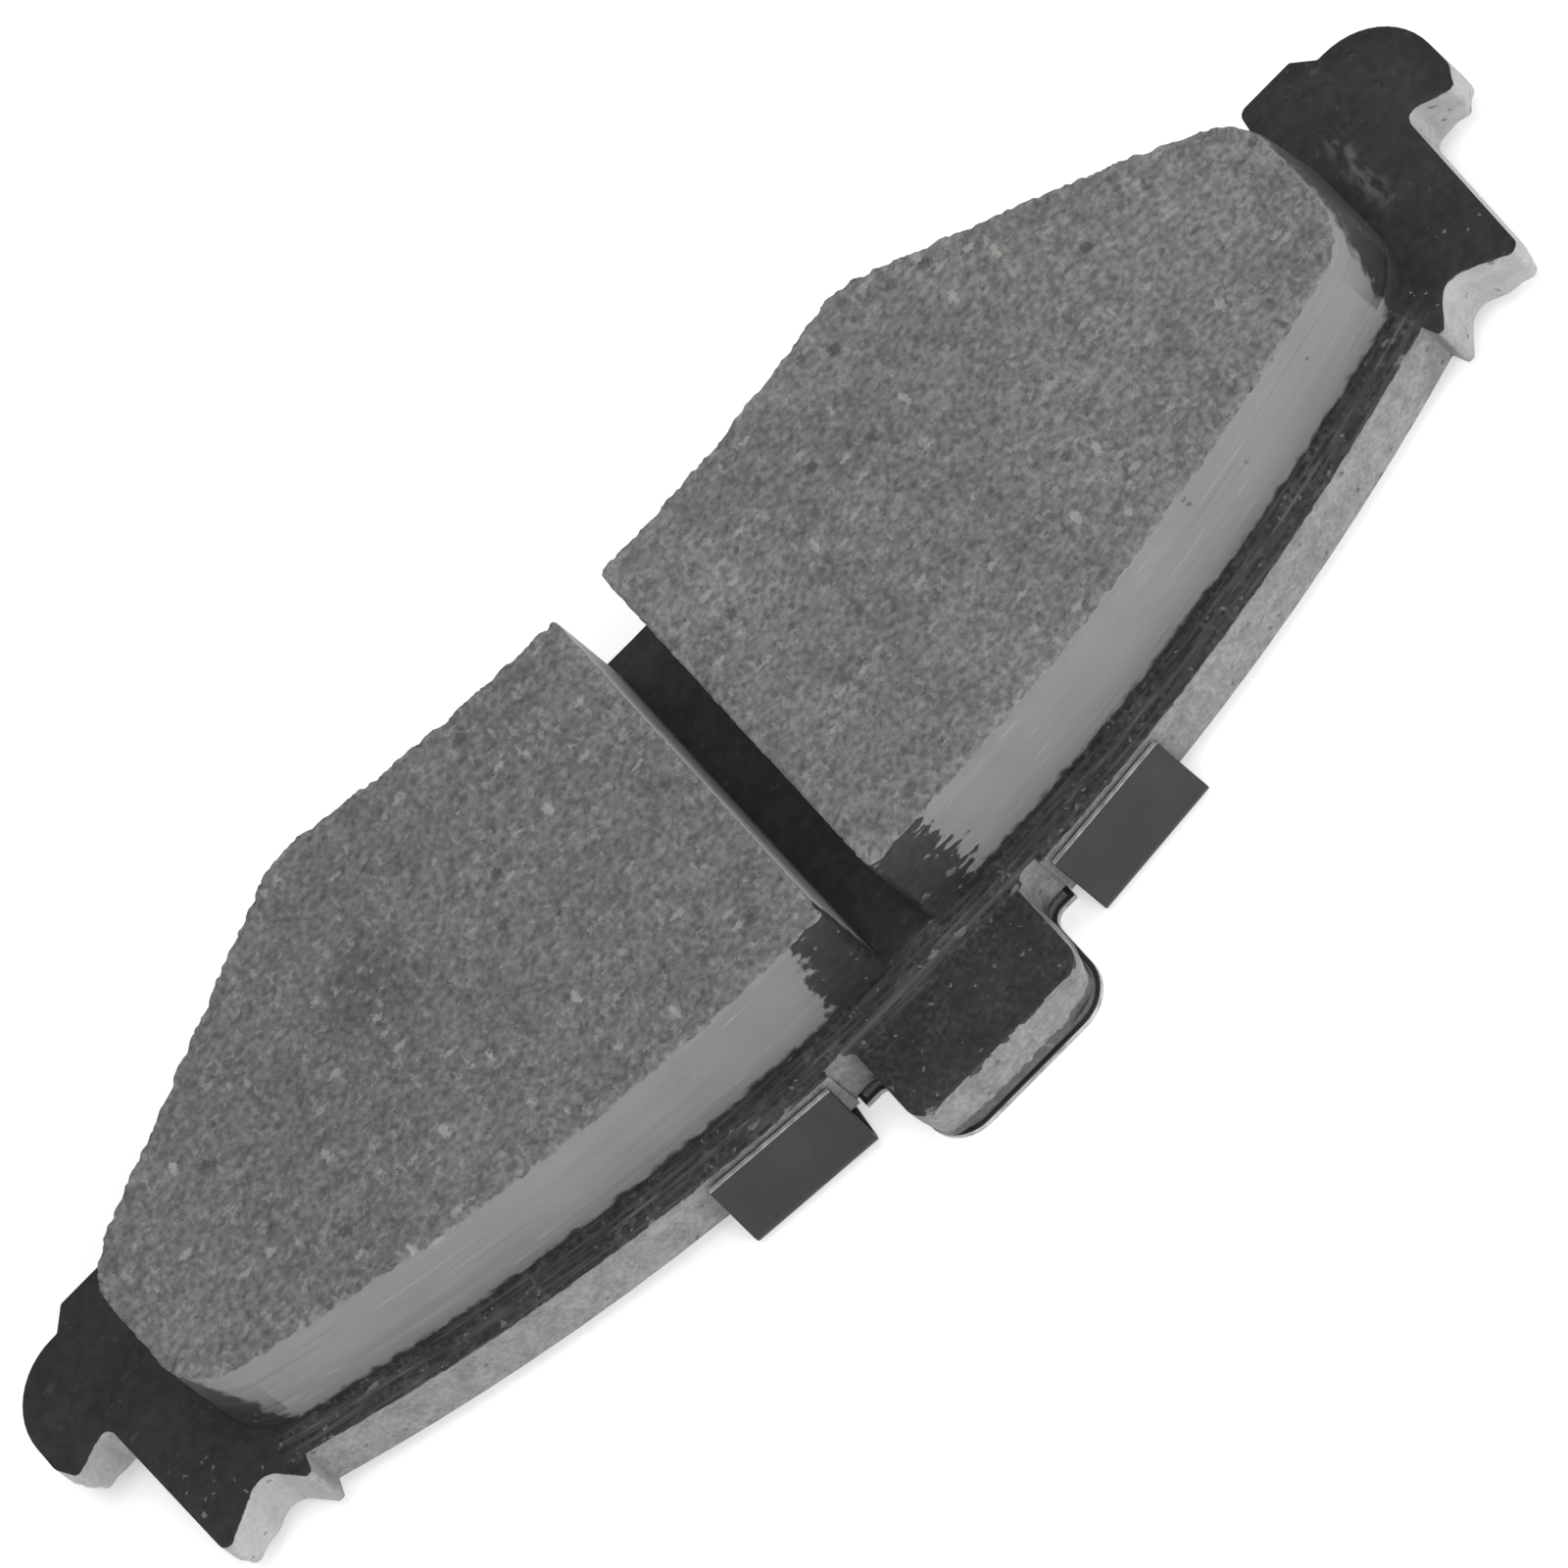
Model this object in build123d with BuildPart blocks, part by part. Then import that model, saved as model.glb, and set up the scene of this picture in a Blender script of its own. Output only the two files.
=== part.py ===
from build123d import *
import os
from math import asin, cos, radians, sin, sqrt, tan

# Disc brake pad: a stamped backing plate with hook ears, two friction blocks
# parted by a slot, and a noise shim that clips over the plate's long edges.
# X runs along the pad, -Y is the outer edge with the lug, and +Z is the face
# that rubs on the disc. Z = 0 is the back of the shim, under the middle of the
# plate. Outlines are drawn with Y = 0 at the middle of the blocks' outer edge.

# ---- Overall sizes (mm) ----
overall_length = 150.0        # ear end to ear end
block_height = 37.15          # blocks, outer edge to inner edge at the middle
plate_thickness = 5.5
friction_thickness = 8.55
underlayer_thickness = 2.0
bond_thickness = 0.15         # cured adhesive between underlayer and plate
shim_thickness = 0.6
damping_thickness = 0.6
shim_bond_thickness = 0.1     # pressure-sensitive film on the plate's back

# ---- Friction blocks ----
slot_width = 4.8
block_margin = 7.55           # block end to the plate's bar end
block_arc_radius = 192.0
block_end_height = 14.5       # straight end, before its corners are rounded
end_outer_radius = 6.0
end_inner_radius = 5.5
inner_arc_radius = 145.0
inner_corner_x = 30.5         # where the sloping edge meets the inner arc
inner_corner_radius = 8.0
slot_corner_radius = 0.6

# ---- Backing plate ----
plate_arc_radius = 182.0
outer_ledge = 3.5             # plate beyond the blocks at the middle
inner_ledge = 1.2
lug_width = 17.3
lug_length = 8.6
lug_corner_radius = 1.8
lug_step_depth = 0.25         # the lug is coined this much below the face
relief_width = 2.65           # corner reliefs beside the lug
relief_depth = 1.0
relief_radius = 1.2
nib_width = 1.1               # small pip where the outer arc ends
nib_height = 1.55
scoop_length = 9.0            # scoop, from the nib to the bar end
scoop_depth = 1.85
scoop_low_point = 2.5         # nib to the scoop's lowest point
scoop_radius = 2.0
bar_corner_rise = 1.55        # bar's corner above the end of the outer arc
bar_corner_radius = 0.7
bar_length = 16.7             # bar's corner to the hook's root
bar_draft = 0.6               # bar end's lean towards its outer corner
ear_reach = 5.2               # ear beyond the bar end
hook_rise = 1.7               # hook's tip above its root
hook_root_radius = 0.9
tip_flat = 1.0                # blunt tip of the hook
ear_depth = 9.15              # hook root to the ear's inner side
ear_corner_radius = 6.3
land_length = 7.1             # raised land beside the ear
land_height = 1.7
land_setback = 1.7            # land's outer end inside the bar end
plate_corner_radius = 7.0

# ---- Moulding holes, filled by the underlayer ----
hole_diameter = 9.0
hole_pitch = 17.0             # along the pad
hole_row_pitch = 15.0         # across the pad

# ---- Noise shim ----
shim_end_margin = 7.0         # shim end, short of the block's end
shim_edge_inset = 1.3         # shim edge inside the plate's long edges
shim_corner_radius = 5.0
tongue_corner_radius = 3.6
damping_inset = 0.4           # rubber set back from the shim's edge
shim_bond_inset = 0.4         # film set back from the rubber's edge
leg_width = 11.95
leg_gap = 3.2                 # lug side to the leg's near side
leg_slit = 0.7                # bend relief between the leg and the sheet
leg_lean = 25.0               # degrees, so that the tips grip the plate
leg_clearance = 0.1           # tip to the plate's edge
leg_tip_setback = 0.4         # tip below the plate's face
leg_bend_radius = 0.5         # inside of the bend
leg_root = 4.0                # flat part of the leg, under the plate

# ---- Levels, from the shim's back up ----
damping_level = shim_thickness
shim_bond_level = damping_level + damping_thickness
plate_level = shim_bond_level + shim_bond_thickness
bond_level = plate_level + plate_thickness
underlayer_level = bond_level + bond_thickness
friction_level = underlayer_level + underlayer_thickness

# ---- Places along the pad ----
half_length = overall_length / 2
bar_end = half_length - ear_reach
block_end = bar_end - block_margin
nib_end = bar_end - scoop_length
arc_stop = nib_end - nib_width
land_start = bar_end - land_setback
land_end = land_start - land_length
slot_side = slot_width / 2
lug_side = lug_width / 2
relief_side = lug_side + relief_width
leg_start = lug_side + leg_gap
leg_middle = leg_start + leg_width / 2
shim_end = block_end - shim_end_margin
hole_middle = (slot_side + block_end) / 2


def arc_drop(x, radius):
    """How far an arc falls towards the hub at x from its middle."""
    return radius - sqrt(radius**2 - x**2)


def plate_outer(x):
    """The plate's outer edge at x."""
    return arc_drop(x, plate_arc_radius) - outer_ledge


def plate_inner(x):
    """The plate's inner edge at x, between its two inner corners."""
    return block_height + inner_ledge + arc_drop(x, inner_arc_radius)


# ---- Places across the pad ----
block_end_outer = arc_drop(block_end, block_arc_radius)
block_end_inner = block_end_outer + block_end_height
inner_corner_y = block_height + arc_drop(inner_corner_x, inner_arc_radius)
edge_slope = (inner_corner_y - block_end_inner) / (block_end - inner_corner_x)
lug_end = -outer_ledge - lug_length
relief_floor = relief_depth - outer_ledge
arc_end = plate_outer(arc_stop)
bar_corner = arc_end - bar_corner_rise
hook_root = bar_corner + bar_length
hook_tip = hook_root - hook_rise
ear_inner = hook_root + ear_depth
land_inner = ear_inner + land_height


def sloping_edge(x):
    """The plate's inner edge beside the blocks' sloping edge."""
    return plate_inner(inner_corner_x) - edge_slope * (x - inner_corner_x)


def arc_edge(start_x, end_x, edge):
    """One arc of an outline, along the edge's own curve."""
    middle_x = (start_x + end_x) / 2
    return ThreePointArc(
        (start_x, edge(start_x)),
        (middle_x, edge(middle_x)),
        (end_x, edge(end_x)),
    )


# ---- Backing plate outline ----
with BuildSketch() as plate_outline:
    with BuildLine():
        FilletPolyline(
            (0, lug_end),
            (lug_side, lug_end),
            (lug_side, relief_floor),
            (relief_side, relief_floor),
            (relief_side, plate_outer(relief_side)),
            radius=[lug_corner_radius, relief_radius, relief_depth / 4],
        )
        arc_edge(relief_side, arc_stop, plate_outer)
        FilletPolyline(
            (arc_stop, arc_end),
            (arc_stop + nib_width / 2, arc_end - nib_height),
            (nib_end, arc_end - nib_height),
            (nib_end + scoop_low_point, arc_end + scoop_depth),
            (bar_end - bar_draft, bar_corner),
            (bar_end, hook_root),
            (half_length - tip_flat, hook_tip),
            (half_length, hook_tip + 2 * tip_flat),
            (half_length, ear_inner),
            (land_start, ear_inner),
            (land_start - land_height, land_inner),
            (land_end, land_inner),
            (land_end - land_height / 2, sloping_edge(land_end - land_height / 2)),
            (inner_corner_x, plate_inner(inner_corner_x)),
            radius=[
                nib_width / 5,
                nib_width / 5,
                scoop_radius,
                bar_corner_radius,
                hook_root_radius,
                tip_flat / 2,
                tip_flat,
                ear_corner_radius,
                land_height / 4,
                land_height / 4,
                land_height / 2,
                land_height / 2,
            ],
        )
        arc_edge(inner_corner_x, 0, plate_inner)
        mirror(about=Plane.YZ)
    make_face()
    fillet(plate_outline.vertices().group_by(Axis.Y)[-1], plate_corner_radius)

# The frame's origin is under the middle of the plate.
outline_middle = plate_outline.sketch.bounding_box().center().Y


def level(height):
    """The outlines' plane at a height, with the frame's origin under it."""
    return Plane((0, -outline_middle, height))


# ---- Friction block outline, both blocks ----
with BuildSketch() as block_outline:
    with BuildLine():
        arc_edge(0, block_end, lambda x: arc_drop(x, block_arc_radius))
        Polyline(
            (block_end, block_end_outer),
            (block_end, block_end_inner),
            (inner_corner_x, inner_corner_y),
        )
        arc_edge(
            inner_corner_x,
            0,
            lambda x: block_height + arc_drop(x, inner_arc_radius),
        )
        mirror(about=Plane.YZ)
    make_face()
    for x in (-block_end, block_end):
        for y, corner_radius in (
            (block_end_outer, end_outer_radius),
            (block_end_inner, end_inner_radius),
        ):
            fillet(block_outline.vertices().sort_by_distance((x, y, 0))[0], corner_radius)
    fillet(block_outline.vertices().group_by(Axis.Y)[-1], inner_corner_radius)
    with Locations((0, block_height / 2)):
        Rectangle(slot_width, 2 * block_height, mode=Mode.SUBTRACT)
    fillet(
        block_outline.vertices().filter_by(
            lambda v: abs(abs(v.X) - slot_side) < slot_corner_radius
        ),
        slot_corner_radius,
    )

# ---- Moulding hole places ----
right_holes = []
for column in (-1, 0, 1):
    hole_x = hole_middle + column * hole_pitch
    block_outer = arc_drop(hole_x, block_arc_radius)
    if column == 1:
        edge_y = inner_corner_y - edge_slope * (hole_x - inner_corner_x)
        right_holes.append((hole_x, (block_outer + edge_y) / 2))
    else:
        middle_y = block_outer + block_height / 2
        right_holes.append((hole_x, middle_y - hole_row_pitch / 2))
        right_holes.append((hole_x, middle_y + hole_row_pitch / 2))
left_holes = [(-x, y) for x, y in right_holes]

# ---- Shim outline, without its legs ----
with BuildSketch() as shim_outline:
    with BuildLine():
        arc_edge(0, shim_end, lambda x: plate_outer(x) + shim_edge_inset)
        Line(
            (shim_end, plate_outer(shim_end) + shim_edge_inset),
            (shim_end, sloping_edge(shim_end) - shim_edge_inset),
        )
        Line(
            (shim_end, sloping_edge(shim_end) - shim_edge_inset),
            (inner_corner_x, plate_inner(inner_corner_x) - shim_edge_inset),
        )
        arc_edge(inner_corner_x, 0, lambda x: plate_inner(x) - shim_edge_inset)
        mirror(about=Plane.YZ)
    make_face()
    fillet(shim_outline.vertices().group_by(Axis.X)[-1], shim_corner_radius)
    fillet(shim_outline.vertices().group_by(Axis.X)[0], shim_corner_radius)

# ---- Shim tongue, which covers the lug and its reliefs ----
tongue_side = leg_start - leg_slit
tongue_root = relief_floor + shim_edge_inset + leg_root
with BuildSketch() as tongue_outline:
    with BuildLine():
        FilletPolyline(
            (0, lug_end),
            (lug_side, lug_end),
            (lug_side, plate_outer(tongue_side)),
            (tongue_side, plate_outer(tongue_side)),
            (tongue_side, tongue_root),
            (0, tongue_root),
            radius=[tongue_corner_radius, relief_radius, 0, 0],
        )
        mirror(about=Plane.YZ)
    make_face()

# ---- Backing plate ----
with BuildPart() as backing_plate:
    with BuildSketch(level(plate_level)):
        add(plate_outline.sketch)
    extrude(amount=plate_thickness)
    with BuildSketch(level(bond_level)):
        with Locations((0, relief_floor)):
            Rectangle(
                2 * relief_side,
                2 * lug_length,
                align=(Align.CENTER, Align.MAX),
            )
    extrude(amount=-lug_step_depth, mode=Mode.SUBTRACT)
    with BuildSketch(level(bond_level)):
        with Locations(*left_holes, *right_holes):
            Circle(hole_diameter / 2)
    extrude(amount=-plate_thickness, mode=Mode.SUBTRACT)

backing_plate.part.label = "backing_plate"

# ---- Bond, underlayer and friction material of each block ----
blocks = block_outline.sketch.faces().sort_by(Axis.X)
pieces = [backing_plate]
for side, block, places in zip(("left", "right"), blocks, (left_holes, right_holes)):
    with BuildPart() as adhesive_film:
        with BuildSketch(level(bond_level)):
            add(block)
            with Locations(*places):
                Circle(hole_diameter / 2, mode=Mode.SUBTRACT)
        extrude(amount=bond_thickness)
    adhesive_film.part.label = f"adhesive_film_{side}"

    # Plugs of the underlayer fill the plate's holes down to its back.
    with BuildPart() as underlayer:
        with BuildSketch(level(underlayer_level)):
            add(block)
        extrude(amount=underlayer_thickness)
        with BuildSketch(level(plate_level)):
            with Locations(*places):
                Circle(hole_diameter / 2)
        extrude(amount=plate_thickness + bond_thickness)
    underlayer.part.label = f"underlayer_{side}"

    with BuildPart() as friction_block:
        with BuildSketch(level(friction_level)):
            add(block)
        extrude(amount=friction_thickness)
    friction_block.part.label = f"friction_block_{side}"

    pieces += [adhesive_film, underlayer, friction_block]

# ---- Noise shim ----
leg_top = bond_level - leg_tip_setback
lean = radians(leg_lean)
legs = []
for x in (-leg_middle, leg_middle):
    legs.append((x, plate_outer(x), plate_arc_radius, -1))
    legs.append((x, plate_inner(x), inner_arc_radius, 1))

with BuildPart() as shim_plate:
    with BuildSketch(level(0)):
        add(shim_outline.sketch)
        add(tongue_outline.sketch)
    extrude(amount=shim_thickness)
    for x, y, edge_radius, facing in legs:
        turn = asin(x / edge_radius)
        outward = Vector(-facing * sin(turn), facing * cos(turn), 0)
        foot = Vector(x, y - outline_middle, 0)
        leg_plane = Plane(foot, x_dir=outward, z_dir=outward.cross(Vector(0, 0, 1)))
        bow = arc_drop(leg_width / 2, edge_radius)
        tip_reach = leg_clearance + bow + shim_thickness * cos(lean)
        with BuildSketch(leg_plane):
            with BuildLine():
                FilletPolyline(
                    (-leg_root, 0),
                    (tip_reach + leg_top * tan(lean), 0),
                    (tip_reach, leg_top),
                    radius=leg_bend_radius + shim_thickness,
                )
                offset(amount=shim_thickness, side=Side.LEFT)
            make_face()
        extrude(amount=leg_width / 2, both=True)
shim_plate.part.label = "shim_plate"

with BuildPart() as shim_damping_layer:
    with BuildSketch(level(damping_level)):
        add(shim_outline.sketch)
        add(tongue_outline.sketch)
        offset(amount=-damping_inset)
    extrude(amount=damping_thickness)
shim_damping_layer.part.label = "shim_damping_layer"

with BuildPart() as shim_adhesive:
    with BuildSketch(level(shim_bond_level)):
        add(shim_outline.sketch)
        add(tongue_outline.sketch)
        offset(amount=-damping_inset - shim_bond_inset)
    extrude(amount=shim_bond_thickness)
shim_adhesive.part.label = "shim_adhesive"

# ---- Files, one for each piece ----
os.makedirs("parts", exist_ok=True)
for piece in pieces + [shim_plate, shim_damping_layer, shim_adhesive]:
    export_step(piece.part, f"parts/{piece.part.label}.step")
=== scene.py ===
from math import cos, radians, sin

import bpy
from mathutils import Matrix, Vector
from mathutils.kdtree import KDTree


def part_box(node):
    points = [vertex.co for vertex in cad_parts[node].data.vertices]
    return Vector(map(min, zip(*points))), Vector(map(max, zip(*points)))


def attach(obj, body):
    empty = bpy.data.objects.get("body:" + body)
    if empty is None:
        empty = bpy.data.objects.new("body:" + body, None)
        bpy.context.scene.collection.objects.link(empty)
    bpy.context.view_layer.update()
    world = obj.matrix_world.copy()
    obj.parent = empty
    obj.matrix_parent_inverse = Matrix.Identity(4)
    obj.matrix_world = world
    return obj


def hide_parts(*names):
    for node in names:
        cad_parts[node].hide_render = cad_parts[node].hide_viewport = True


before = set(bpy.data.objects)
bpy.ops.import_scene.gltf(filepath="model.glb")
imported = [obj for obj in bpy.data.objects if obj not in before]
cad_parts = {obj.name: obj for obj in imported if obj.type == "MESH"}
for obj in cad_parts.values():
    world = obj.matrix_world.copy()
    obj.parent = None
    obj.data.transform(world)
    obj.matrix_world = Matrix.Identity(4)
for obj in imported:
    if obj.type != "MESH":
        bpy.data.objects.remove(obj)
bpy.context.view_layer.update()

# ---- Backing plate ----
# A steel plate stamped from strip, with a hook ear at each end and a lug at the
# middle of its outer edge. It is painted black all over, and the paint has come
# off the sheared edge. The stroke of the tool leaves the back's edge rolled.
plate_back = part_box("backing_plate")[0].z
plate_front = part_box("backing_plate")[1].z
arc_radius = 0.182
ledge_width = 0.0035
arc_middle_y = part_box("friction_block_right")[0].y - ledge_width
lug_step = 0.00025
lug_half_reach = 0.012
front_edge_round = 0.00025
merge_distance = 1e-6
same_level = 1e-5
flat_angle = 0.5
sharp_angle = 40
plate_smooth_angle = 30
wall_slope = 0.8
rounding_slopes = (0.15, 0.99)
rounding_band = 1.2 * front_edge_round

# Fine cuts over both ears, over the lug and up from the back let the corners that
# stand out roll away at the back: the ear bar's, the hook's tip and the lug's.
cut_pitch = 0.0008
ear_cuts = (0.062, 0.076)
lug_cuts = (-0.011, 0.011)
outer_edge_cuts = (-0.0285, 0.012)
back_cuts = (plate_back, plate_back + 0.0035)
back_band = 0.0003
corner_band = 0.0009
bar_corner_from = 0.0655
hook_tip_from = 0.0737
lug_corner_within = 0.010
bar_roll = (0.0003, 0.0006, 0.0004)
hook_roll = (0.0005, 0.0006, 0.0005)
ear_roll_reach = 0.0030
lug_roll = {-1: 0.0003, 1: 0.0007}
lug_roll_reach = 0.0045

# Materials measure in millimetres. Each pair is where a mark starts to show and
# where it is full: across the pad, in from the outer arc, or down from the front.
in_mm = 1000.0
ledge_fade = (4.5, 3.0)
ledge_outer_fade = (-0.8, 0.0)
scratch_outer_fade = (-0.3, 0.1)
block_foot_fade = (arc_middle_y * in_mm + 4.4, arc_middle_y * in_mm + 3.0)
block_end_fade = (10.0, 20.0)
arc_end_fade = (62.0, 59.0)
ear_fade = (59.5, 62.0)
lug_fade = (11.0, 8.0)
lug_step_fade = (10.5, 9.5)
lug_wall_fade = (10.5, 9.0)
highlight_line_inset = 1.7
thin_line = (0.22, 0.08)
streak_centre = (64.5, 6.5)
streak_width_fade = (1.6, 0.2)
streak_length_fade = (6.5, 2.0)
bare_steel_fade = (-0.1, 0.05)
rolled_fade = (plate_back * in_mm + 1.5, plate_back * in_mm + 1.0)
paint_colour = (0.0175, 0.0175, 0.0165, 1)
paint_dust_colour = (0.15, 0.15, 0.145, 1)
steel_colour = (0.19, 0.19, 0.187, 1)
ear_highlight_steel_colour = (0.33, 0.33, 0.33, 1)
paint_shine = 0.25


def new_piece(name, node):
    """A new piece that starts as a merged copy of a CAD node's mesh."""
    piece = bpy.data.objects.new(name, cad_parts[node].data.copy())
    piece.data.name = name
    piece.data.materials.clear()
    bpy.context.scene.collection.objects.link(piece)
    bpy.ops.object.select_all(action="DESELECT")
    piece.select_set(True)
    bpy.context.view_layer.objects.active = piece
    bpy.ops.object.mode_set(mode="EDIT")
    bpy.ops.mesh.select_mode(type="VERT")
    bpy.ops.mesh.select_all(action="SELECT")
    bpy.ops.mesh.remove_doubles(threshold=merge_distance)
    bpy.ops.mesh.dissolve_limited(angle_limit=radians(flat_angle))
    bpy.ops.object.mode_set(mode="OBJECT")
    return piece


def apply_modifiers(piece):
    """Applies a piece's modifiers in their order."""
    bpy.context.view_layer.objects.active = piece
    for modifier in list(piece.modifiers):
        bpy.ops.object.modifier_apply(modifier=modifier.name)


def round_edges(piece, width, segments):
    """Rounds a piece's sharp edges."""
    rounding = piece.modifiers.new("rounding", "BEVEL")
    rounding.width = width
    rounding.segments = segments
    rounding.limit_method = "ANGLE"
    rounding.angle_limit = radians(sharp_angle)
    apply_modifiers(piece)


def cut_by_planes(first, last, pitch, normal):
    """Cuts the mesh being edited by evenly spaced planes."""
    direction = Vector(normal)
    position = first + pitch
    while position < last - pitch / 4:
        bpy.ops.mesh.select_all(action="SELECT")
        bpy.ops.mesh.bisect(plane_co=direction * position, plane_no=direction)
        position += pitch


def smooth(piece, degrees):
    """Shades a piece smooth, with its edges past an angle kept sharp."""
    bpy.ops.object.select_all(action="DESELECT")
    piece.select_set(True)
    bpy.context.view_layer.objects.active = piece
    bpy.ops.object.shade_smooth_by_angle(angle=radians(degrees))


def mark_faces(piece, name, is_chosen):
    """A face attribute that is 1 on the chosen faces and 0 elsewhere."""
    mark = piece.data.attributes.new(name, "FLOAT", "FACE")
    for face in piece.data.polygons:
        mark.data[face.index].value = 1.0 if is_chosen(face) else 0.0


def add(tree, kind, inputs=None, **settings):
    """One shader node. An input is a plain value or another node's output."""
    node = tree.nodes.new("ShaderNode" + kind)
    for name, value in settings.items():
        setattr(node, name, value)
    for key, value in (inputs or {}).items():
        if isinstance(value, bpy.types.NodeSocket):
            tree.links.new(value, node.inputs[key])
        else:
            node.inputs[key].default_value = value
    return node


def sum_node(tree, operation, first, second=0.0, clamp=False):
    """The result of one sum on masks or lengths."""
    return add(tree, "Math", {0: first, 1: second}, operation=operation, use_clamp=clamp).outputs[0]


def plus(tree, first, second):
    """Two masks or lengths added."""
    return sum_node(tree, "ADD", first, second)


def minus(tree, first, second):
    """The second mask or length taken from the first."""
    return sum_node(tree, "SUBTRACT", first, second)


def times(tree, result, *factors):
    """Masks or lengths multiplied together."""
    for factor in factors:
        result = sum_node(tree, "MULTIPLY", result, factor)
    return result


def seen_through(tree, mask, pattern):
    """A pattern as far as a mask lets it show, kept between 0 and 1."""
    return sum_node(tree, "MULTIPLY", mask, pattern, clamp=True)


def largest(tree, result, *values):
    """The largest of several masks."""
    for value in values:
        result = sum_node(tree, "MAXIMUM", result, value)
    return result


def distance(tree, length, middle=0.0):
    """How far a length is from a middle, either way."""
    if middle:
        length = minus(tree, length, middle)
    return sum_node(tree, "ABSOLUTE", length)


def ramp(tree, value, low, high, low_out=0.0, high_out=1.0):
    """A value's range spread smoothly over another."""
    ends = {"From Min": low, "From Max": high, "To Min": low_out, "To Max": high_out}
    return add(tree, "MapRange", {"Value": value, **ends}, interpolation_type="SMOOTHSTEP").outputs[0]


def scale_vector(tree, vector, factor):
    """A place or a colour times one number."""
    return add(tree, "VectorMath", {0: vector, 3: factor}, operation="SCALE").outputs[0]


def stretch(tree, place, ways):
    """A place with each of its axes times its own number."""
    return add(tree, "VectorMath", {0: place, 1: ways}, operation="MULTIPLY").outputs[0]


def split_axes(tree, place):
    """A place's X, Y and Z."""
    return add(tree, "SeparateXYZ", {0: place}).outputs


def blend_colour(tree, mask, first, second):
    """Two colours mixed by a mask."""
    return add(tree, "Mix", {0: mask, 6: first, 7: second}, data_type="RGBA").outputs[2]


def blend_value(tree, mask, first, second):
    """Two values mixed by a mask."""
    return add(tree, "Mix", {0: mask, 2: first, 3: second}, data_type="FLOAT").outputs[0]


def tone(tree, colour, *values):
    """A colour made lighter or darker by several values in turn."""
    if not isinstance(colour, bpy.types.NodeSocket):
        colour = colour[:3]
    return scale_vector(tree, colour, times(tree, *values))


def attribute(tree, name):
    """A mask that the mesh itself holds."""
    return add(tree, "Attribute", attribute_name=name).outputs["Fac"]


def new_group(name, inputs, outputs):
    """An empty shader node group, with its input and output sockets."""
    group = bpy.data.node_groups.new(name, "ShaderNodeTree")
    for socket_name, kind, value in inputs:
        socket = group.interface.new_socket(
            socket_name, in_out="INPUT", socket_type="NodeSocket" + kind
        )
        if value is not None:
            socket.default_value = value
    for socket_name, kind in outputs:
        group.interface.new_socket(socket_name, in_out="OUTPUT", socket_type="NodeSocket" + kind)
    given = group.nodes.new("NodeGroupInput").outputs
    return group, given, group.nodes.new("NodeGroupOutput").inputs


def place_group(tree, group, **inputs):
    """The outputs of one group in a material, given its values."""
    node = tree.nodes.new("ShaderNodeGroup")
    node.node_tree = group
    for key, value in inputs.items():
        if isinstance(value, bpy.types.NodeSocket):
            tree.links.new(value, node.inputs[key])
        else:
            node.inputs[key].default_value = value
    return node.outputs


def new_material(name):
    """A material with one Principled shader, and its place in millimetres."""
    material = bpy.data.materials.new(name)
    material.use_nodes = True
    tree = material.node_tree
    place = scale_vector(tree, add(tree, "TexCoord").outputs["Object"], in_mm)
    return material, tree, tree.nodes["Principled BSDF"], place


def connect(tree, shader, colour, roughness, height=None, strength=0.0, depth=0.0):
    """Joins a material's colour, roughness and bump, as deep as given in metres, to its shader."""
    tree.links.new(colour, shader.inputs["Base Color"])
    tree.links.new(roughness, shader.inputs["Roughness"])
    if height is not None:
        bump = add(tree, "Bump", {"Height": height, "Strength": strength, "Distance": depth})
        tree.links.new(bump.outputs[0], shader.inputs["Normal"])


def make_flecks_group():
    """Small scattered spots: chips, specks and pits. Share is how many cells hold one."""
    wobble_density = 2.5
    wobble_reach = 0.9
    soft_edge = 1.9
    group, given, out = new_group(
        "flecks",
        [
            ("Place", "Vector", None),
            ("Cell", "Float", 1.0),
            ("Share", "Float", 0.1),
            ("Width", "Float", 0.35),
            ("Stretch", "Vector", (1, 1, 1)),
            ("Seed", "Float", 0.0),
        ],
        [("Mask", "Float")],
    )
    wobble = add(group, "TexNoise", {"Vector": given["Place"], "Scale": wobble_density, "Detail": 2.0})
    shift = scale_vector(group, wobble.outputs["Color"], wobble_reach)
    moved = add(group, "VectorMath", {0: given["Place"], 1: shift}, operation="ADD").outputs[0]
    drawn_out = stretch(group, moved, given["Stretch"])
    seeded = add(group, "VectorMath", {0: drawn_out, 1: given["Seed"]}, operation="ADD").outputs[0]
    density = sum_node(group, "DIVIDE", 1.0, given["Cell"])
    cells = add(group, "TexVoronoi", {"Vector": seeded, "Scale": density})
    pick = add(group, "SeparateColor", {0: cells.outputs["Color"]}).outputs[0]
    present = sum_node(group, "LESS_THAN", pick, given["Share"])
    outer = times(group, given["Width"], soft_edge)
    spot = ramp(group, cells.outputs["Distance"], given["Width"], outer, 1.0, 0.0)
    group.links.new(times(group, present, spot), out["Mask"])
    return group


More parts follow.
